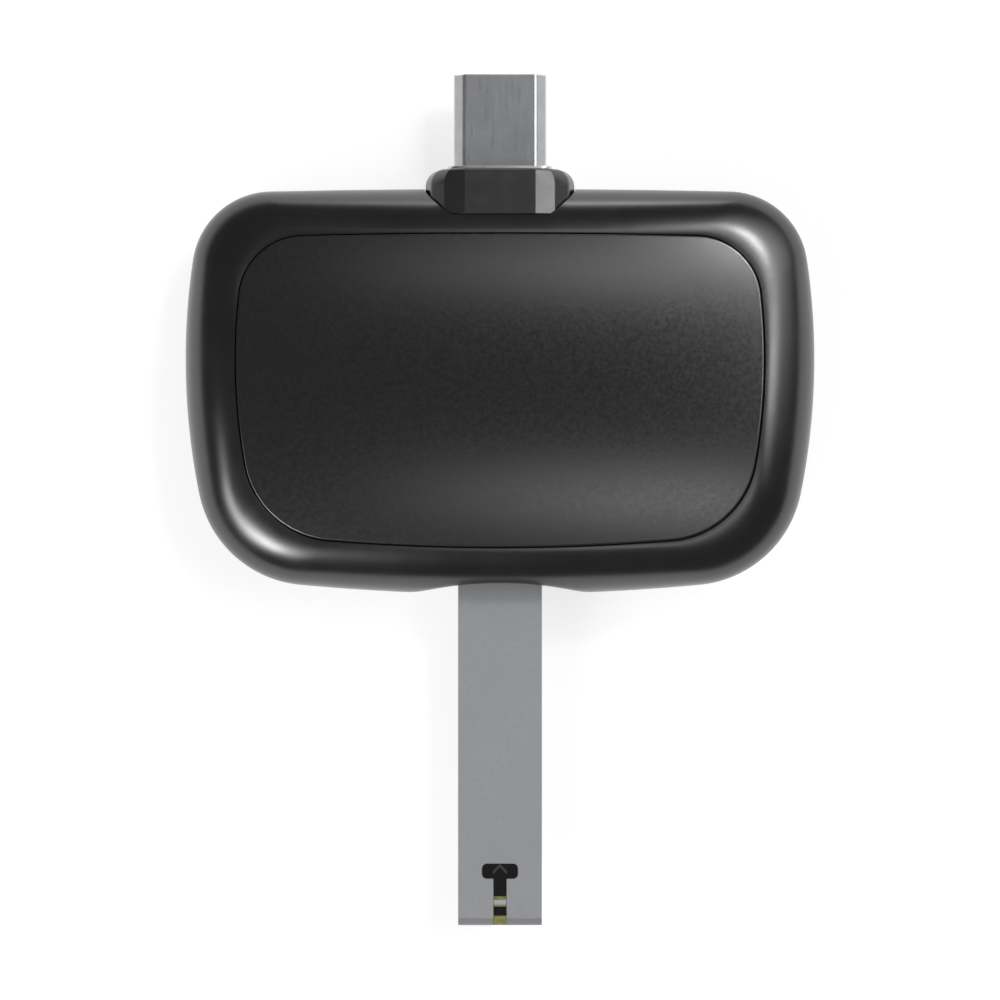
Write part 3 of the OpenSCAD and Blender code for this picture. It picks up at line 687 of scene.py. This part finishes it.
def rear_casing():
    """The rear half: flat rest, cavity, lip, board ribs, screw bosses and the label's recess."""
    obj = loft("casing_back", rear_skin() + cavity_rings(BOARD_TOP_Z - 0.1, FLOOR_T, REAR_COVE))
    top = BOARD_BOTTOM_Z - SEAT
    middle = (PLUG_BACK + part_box("strip_port")[1].y / MM) / 2
    ribs = [block("rib", (-11, middle + way * 4 - 0.4, FLOOR_T - 0.27),
                  (11, middle + way * 4 + 0.4, top), 0.07) for way in (-1, 1)]
    bosses = at_screws(lambda x, y: drilled("boss", BOSS_R, FLOOR_T - 0.3, top, x, y))
    combine(obj, [casing_lip(), *ribs, *bosses], "UNION")
    label = prism("label_tool", round_rect(24.06, 12.06, 1.53), -1, 0.3)
    heads = at_screws(lambda x, y: drilled("head", HEAD_R, -1, HEAD_SEAT_Z, x, y, 56))
    shanks = at_screws(lambda x, y: drilled("shank", SHANK_R, 0, 4, x, y))
    combine(obj, [boot_notch(), strip_slot(), label, *heads, *shanks], "DIFFERENCE")
    shade(obj)
    return dress(obj, "meter", "casing_rear", "rear_shell")


def front_panel():
    """The crowned panel, with a finely rounded edge."""
    edge_r = 0.1
    side = panel_outline(PANEL_GAP)
    rings = [lifted(panel_outline(PANEL_GAP + 0.05), DECK_Z + 0.1),
             lifted(side, DECK_Z + 0.15)]
    for a in np.radians([0, 22, 45, 67, 90]):
        loop = panel_outline(PANEL_GAP + edge_r * (1 - math.cos(a)))
        rings.append(lifted(loop, crown_z(loop) - edge_r * (1 - math.sin(a))))
    rim = panel_outline(PANEL_GAP + edge_r)
    for share in [0.997, *(1 - np.linspace(0, 1, 30)[1:-1] * 0.98)]:
        rings.append(lifted(rim * share, crown_z(rim * share)))
    obj = loft("panel_front", rings)
    shade(obj, 50)
    return dress(obj, "meter", "panel", "front_panel")


# ------------------------------------------------------------------ plug


def plug_section(d=0.0):
    """Section of the plug drawn in by d, its bends rounded."""
    w, h = PLUG_W / 2 - d, PLUG_H / 2 - d
    slope = PLUG_H * 0.42
    corners = [(-w, -h), (-w, h - slope), (-w + slope, h), (w - slope, h), (w, h - slope), (w, -h)]
    tight = max(0.3 - d, 0.04)
    return filleted(corners, [tight, tight, tight + 0.1, tight + 0.1, tight, tight])


def boot_section():
    """Section of the boot: facets set in its round corners, their edges softened."""
    middle = np.array([BOOT_W, BOOT_T]) / 2 - BOOT_R
    turns = np.radians([0, 30, 59, 90])
    corner = middle + BOOT_R * np.column_stack([np.sin(turns), np.cos(turns)])
    loop = np.vstack([corner, corner[::-1] * [1, -1], corner * [-1, -1], corner[::-1] * [-1, 1]])
    radii = [0.3, 0.3, 0.6, 0.9]  # at the facets' edges, from the broad face to the end
    return filleted(loop, (radii + radii[::-1]) * 2, 4)


def boot():
    """The moulded boot: its broad faces lean in a little and its shoulders are cut round."""
    flat = 2.75      # half the width that the shoulders leave straight
    shoulder = 1.25  # their radius
    edge_r = 0.28    # rounding of the face's edge
    lean = 0.09      # slope of the broad faces
    turns = np.radians(np.linspace(0, 90, 10))
    places = [(BOOT_BACK, 0.06, 0.06), (BOOT_BACK + 0.06, 0, 0), (BOOT_FACE - shoulder, 0, 0)]
    for turn in turns[1:-3]:
        places.append((BOOT_FACE - shoulder * (1 - math.sin(turn)),
                       shoulder * (1 - math.cos(turn)), 0))
    for turn in turns[1:]:
        y = BOOT_FACE - edge_r * (1 - math.sin(turn))
        side = math.sqrt(max(0, 1 - (1 - (BOOT_FACE - y) / shoulder) ** 2))
        places.append((y, shoulder * (1 - side), edge_r * (1 - math.cos(turn))))
    rings = []
    for y, narrow, thin in places:
        loop = boot_section()
        outside = np.maximum(np.abs(loop[:, 0]) - flat, 0)
        reach = BOOT_W / 2 - flat
        loop[:, 0] -= np.sign(loop[:, 0]) * outside * narrow / reach
        loop[:, 1] *= 1 - (thin + lean * (y - BOOT_BACK)) / (BOOT_T / 2)
        rings.append(along_y(loop, y))
    obj = loft("plug_boot_moulding", rings)
    combine(obj, [y_prism("hole", plug_section(-SEAT), BOOT_BACK - 1, BOOT_FACE + 1)],
            "DIFFERENCE")
    shade(obj, level=True)
    return dress(obj, "meter", "boot", "plug_boot")


def ribbon(path, width):
    """Both edges of a line of some width that follows a path, mitred at its bends."""
    path = np.array(path, float)
    way = np.diff(path, axis=0)
    way /= np.linalg.norm(way, axis=1)[:, None]
    across = np.column_stack([-way[:, 1], way[:, 0]])
    before = np.vstack([across[:1], across])
    after = np.vstack([across, across[-1:]])
    side = (before + after) / (1 + (before * after).sum(1))[:, None] * width / 2
    return np.vstack([path + side, (path - side)[::-1]])


def plug_seam():
    """The dovetailed seam in the broad side of the plug's shell."""
    path = [(0, PLUG_SEAT - 2), (0, 18.7), (0.4, 18.45), (0.4, 19.65), (0, 19.4), (0, 24)]
    low = PARTING_Z - PLUG_H / 2
    return prism("seam", ribbon(path, 0.05), low - 0.5, low + 0.12)


def plug_shell():
    """The folded steel shell, with its latch slots, seam and feet."""
    lip = 0.09
    middle = PLUG_STEEL / 2
    stack = [(0, PLUG_BACK), (0, PLUG_MOUTH - lip), (0.03, PLUG_MOUTH - 0.03),
             (middle, PLUG_MOUTH), (PLUG_STEEL - 0.03, PLUG_MOUTH - 0.03),
             (PLUG_STEEL, PLUG_MOUTH - lip), (PLUG_STEEL, PLUG_BACK)]
    obj = loft("plug_shell_steel", [along_y(plug_section(d), y) for d, y in stack], closed=True)
    low = PARTING_Z - PLUG_H / 2
    feet = [block("foot", (side * FOOT_X - 0.3, y, BOARD_TOP_Z + 0.05),
                  (side * FOOT_X + 0.3, y + 1, low + 0.12), 0.1)
            for side in (-1, 1) for y in (PLUG_BACK + 0.2, PLUG_BACK + 1.8)]
    combine(obj, feet, "UNION")
    slots = [block("slot", (side * LATCH_X - 0.37, PLUG_SEAT + 3.78, low - 0.3),
                   (side * LATCH_X + 0.37, PLUG_SEAT + 5.02, PARTING_Z - PLUG_H / 4), 0.1)
             for side in (-1, 1)]
    combine(obj, slots + [plug_seam()], "DIFFERENCE")
    shade(obj, 30, level=True)
    return dress(obj, "meter", "plug_steel", "plug_shell")


# ------------------------------------------------------------------ test strip


def strip_cover():
    """The cover film with its T-shaped window, and a fine pressed line near the tip."""
    half = STRIP_W / 2
    stem, vent = 0.49, 1.335
    low, high = STRIP_TIP + 3.44, STRIP_TIP + 4.56
    tip_r, film_r, window_r = 0.08, 0.15, 0.36
    left = [(-half, STRIP_TIP), (-half, COVER_BACK)]
    right = [(half, COVER_BACK), (half, STRIP_TIP), (stem, STRIP_TIP), (stem, low), (vent, low),
             (vent, high), (-vent, high), (-vent, low), (-stem, low), (-stem, STRIP_TIP)]
    radii = [film_r, film_r, film_r, film_r, tip_r, 0.06, window_r, window_r, window_r,
             window_r, 0.06, tip_r]
    loop = filleted(left + right, radii, 5)
    top = PARTING_Z + STRIP_T / 2
    obj = prism("strip_cover_film", loop, PARTING_Z + COVER_LOW, top)
    line = STRIP_TIP + TIP_BAND[1]
    grooves = [block("line", (side * half * 1.1 - 1.6, line, top - 0.03),
                     (side * half * 1.1 + 1.6, line + 0.05, top + 1)) for side in (-0.55, 0.55)]
    combine(obj, grooves, "DIFFERENCE")
    bevel(obj, 0.02)
    return dress(obj, "strip", "strip_cover_film", "strip_cover")


def strip_channel():
    """The black lining of the channel, with round corners at the vent."""
    low, high = PARTING_Z + 0.03, PARTING_Z + STRIP_T / 2 - 0.02
    vent = round_rect(2.62, 1.07, 0.34, 6) + [0, STRIP_TIP + 4.0]
    obj = prism("strip_channel_lining", vent, low, high)
    half = 0.48
    stem = block("stem", (-half, STRIP_TIP + 2.15, low), (half, STRIP_TIP + 3.7, high), 0.04)
    bar = block("bar", (-half, STRIP_TIP + 0.75, low), (half, STRIP_TIP + 1.35, high), 0.04)
    combine(obj, [stem, bar], "UNION")
    bevel(obj, 0.015)
    return dress(obj, "strip", "carbon_ink", "strip_channel")


def strip_mark():
    """The faint arrow head in the vent, in a greyer print."""
    y, half = STRIP_TIP + 4.1, 0.52
    points = [(-half, y - 0.35), (0, y + 0.2), (half, y - 0.35), (half, y - 0.08), (0, y + 0.42),
              (-half, y - 0.08)]
    top = PARTING_Z + STRIP_T / 2
    obj = prism("strip_vent_mark", np.array(points), top - 0.1, top - 0.008)
    dress(obj, "strip", "carbon_ink")
    obj.data.materials[0] = carbon_paint("carbon_grey", 0.035, 0.055)
    return obj


def strip_window():
    """The clear gap of the channel, where the pale film below shows."""
    low, high = STRIP_TIP + 1.52, STRIP_TIP + 1.88
    top = PARTING_Z + STRIP_T / 2
    obj = block("strip_window_film", (-0.47, low, top - 0.2), (0.47, high, top - 0.05), 0.05)
    shade(obj)
    dress(obj, "strip", "spacer_film")
    obj.data.materials[0] = film_paint("window_film", 0.36).material
    return obj


# ------------------------------------------------------------------ carried-over CAD nodes


def bevel(obj, width):
    """Rounds the edges of a piece by a width in millimetres."""
    weld = obj.modifiers.new("weld", "WELD")
    weld.merge_threshold = 1e-6
    flatten = obj.modifiers.new("flatten", "DECIMATE")
    flatten.decimate_type = "DISSOLVE"
    flatten.angle_limit = math.radians(1)
    soften = obj.modifiers.new("soften", "BEVEL")
    soften.width = width * MM
    soften.segments = 2
    soften.limit_method = "ANGLE"
    soften.angle_limit = math.radians(30)
    soften.harden_normals = True
    obj.data.shade_smooth()
    return obj


BEVELS = {  # each carried-over node and the rounding of its edges
    "panel_tape": 0.02, "rear_label": 0.04, "casing_screws": 0.05, "plug_collar": 0.05,
    "plug_insulator": 0.03, "plug_contacts": 0.02, "plug_latch_left": 0.025,
    "plug_latch_right": 0.025, "circuit_board": 0.03, "board_pads": 0.01,
    "microcontroller": 0.06, "measuring_chip": 0.06, "usb_chip": 0.05, "regulator": 0.05,
    "chip_leads": 0.02, "crystal": 0.06, "capacitors": 0.04, "resistors": 0.03,
    "component_ends": 0.03, "temperature_sensor": 0.03, "strip_port": 0.06,
    "strip_contacts": 0.02, "strip_base": 0.02, "strip_electrodes": 0.0, "strip_spacer": 0.01,
    "strip_reagent": 0.02,
}


def dress_nodes():
    """Gives the carried-over nodes their paint and softened edges."""
    slots = {s["node"]: s["material_slot"] for s in frame["record"]["subparts"]}
    for name, width in BEVELS.items():
        node = nodes[name]
        node.data.materials.clear()
        node.data.materials.append(PAINTS[slots[name]])
        if width > 0:
            bevel(node, width)


front_casing()
rear_casing()
front_panel()
boot()
plug_shell()
strip_cover()
strip_channel()
strip_mark()
strip_window()
dress_nodes()

# ------------------------------------------------------------------ studio

FOCUS = Vector((0, -4.0, 7.0)) * MM
LAMP_DISTANCE = 1.0
ROOM_GLOW = 0.12
FLOOR_TONE = 0.35
FLOOR_GLOW = 0.76
FLOOR_HALF = 1.5
VIEW_Y = -8.03         # millimetres
CAMERA_HEIGHT = 0.375  # metres


def direction(u, v):
    """A direction u degrees to the right of the view axis and v degrees towards the plug."""
    off, azimuth = math.radians(math.hypot(u, v)), math.atan2(v, u)
    return Vector((math.sin(off) * math.cos(azimuth), math.sin(off) * math.sin(azimuth),
                   math.cos(off)))


def soft_lamp(name, place, right, out, wide, high, peak, glow):
    """A lamp whose glow climbs from nothing at its edges to a peak, a share along each side."""
    data = bpy.data.lights.new(name, "AREA")
    data.shape = "RECTANGLE"
    data.size, data.size_y = wide, high
    data.energy = glow * math.pi * wide * high
    data.use_nodes = True
    tree = data.node_tree
    split = tree.nodes.new("ShaderNodeSeparateXYZ")
    tree.links.new(tree.nodes.new("ShaderNodeNewGeometry").outputs["Parametric"], split.inputs[0])

    def step(operation, a, b):
        node = tree.nodes.new("ShaderNodeMath")
        node.operation = operation
        for socket, value in zip(node.inputs, (a, b)):
            if isinstance(value, float):
                socket.default_value = value
            else:
                tree.links.new(value, socket)
        return node.outputs[0]

    tents = [step("MINIMUM", step("DIVIDE", split.outputs[k], peak[k]),
                  step("DIVIDE", step("SUBTRACT", 1.0, split.outputs[k]), 1.0 - peak[k]))
             for k in (0, 1)]
    tree.links.new(step("MULTIPLY", *tents), tree.nodes["Emission"].inputs["Strength"])
    up = out.cross(right)
    lamp = bpy.data.objects.new(name, data)
    lamp.matrix_world = Matrix.Translation(place) @ Matrix((right, up, out)).transposed().to_4x4()
    lamp.visible_camera = False
    scene.collection.objects.link(lamp)
    return lamp


def softbox(name, u, v, wide, high, turn, peak, glow):
    """A soft lamp centred on a direction, its spans in degrees, turned about its own axis."""
    out = direction(u, v)
    right = direction(u + 1, v) - direction(u - 1, v)
    right.rotate(Quaternion(out, math.radians(turn)))
    right = (right - out * right.dot(out)).normalized()
    size = [2 * LAMP_DISTANCE * math.tan(math.radians(span) / 2) for span in (wide, high)]
    return soft_lamp(name, FOCUS + out * LAMP_DISTANCE, right, out, *size, peak, glow)


# degrees right and up, degrees wide and high, turn, peak, glow
softbox("side", 50, 26, 58, 64, 8, (0.15, 0.6), 3.6)
softbox("streak", 36, 5, 20, 34, 0, (0.3, 0.5), 7.5)
softbox("corner", 24, 22, 12, 20, 0, (0.4, 0.4), 3.0)
softbox("spot", 22.5, 30.5, 9, 9, 45, (0.5, 0.5), 95.0)
softbox("top", 2, 23, 29, 11, -3, (0.85, 0.5), 3.4)
softbox("low", 6, -17, 33, 14, -3, (0.85, 0.4), 4.1)
softbox("low_left", -35, -43, 31, 20, -6, (0.65, 0.6), 27.0)
softbox("low_middle", -18, -36, 10, 18, 0, (0.4, 0.5), 3.5)
softbox("left", -51, -28, 20, 36, 18, (0.6, 0.5), 9.0)
soft_lamp("back", Vector((3, 75, 5)) * MM, Vector((-1, 0, 0)), Vector((0, 1, 0)), 0.06, 0.012,
          (0.35, 0.5), 7.0)


def studio_world():
    """The room above the floor is dim and even."""
    world = bpy.data.worlds.new("studio")
    world.use_nodes = True
    background = world.node_tree.nodes["Background"]
    background.inputs["Color"].default_value = (1, 1, 1, 1)
    background.inputs["Strength"].default_value = ROOM_GLOW
    scene.world = world


def studio_floor():
    """A white floor that keeps the shadow: it glows to the camera and in gloss and glass."""
    corners = np.array([(-1, -1, 0), (1, -1, 0), (1, 1, 0), (-1, 1, 0)]) * FLOOR_HALF / MM
    floor = make_object("floor", corners, [(0, 1, 2, 3)])
    floor.location.z = -0.02 * MM
    material = bpy.data.materials.new("floor_white")
    material.use_nodes = True
    tree = material.node_tree
    shader = tree.nodes["Principled BSDF"]
    shader.inputs["Base Color"].default_value = (FLOOR_TONE, FLOOR_TONE, FLOOR_TONE, 1)
    shader.inputs["Roughness"].default_value = 0.9
    shader.inputs["Emission Color"].default_value = (1, 1, 1, 1)
    path = tree.nodes.new("ShaderNodeLightPath")
    seen = path.outputs["Is Camera Ray"]
    for kind in ("Is Glossy Ray", "Is Transmission Ray"):
        either = tree.nodes.new("ShaderNodeMath")
        either.operation = "MAXIMUM"
        tree.links.new(seen, either.inputs[0])
        tree.links.new(path.outputs[kind], either.inputs[1])
        seen = either.outputs[0]
    lift = tree.nodes.new("ShaderNodeMath")
    lift.operation = "MULTIPLY"
    lift.inputs[1].default_value = FLOOR_GLOW
    tree.links.new(seen, lift.inputs[0])
    tree.links.new(lift.outputs[0], shader.inputs["Emission Strength"])
    floor.data.materials.append(material)


def studio_camera():
    """Straight above the meter, from far enough for the photograph's flat view."""
    data = bpy.data.cameras.new("camera")
    data.lens = 180
    data.sensor_width = 36
    data.clip_start, data.clip_end = 0.01, 10
    camera = bpy.data.objects.new("camera", data)
    camera.location = (0, VIEW_Y * MM, CAMERA_HEIGHT)
    scene.collection.objects.link(camera)
    scene.camera = camera


studio_world()
studio_floor()
studio_camera()
scene.view_settings.view_transform = "Standard"
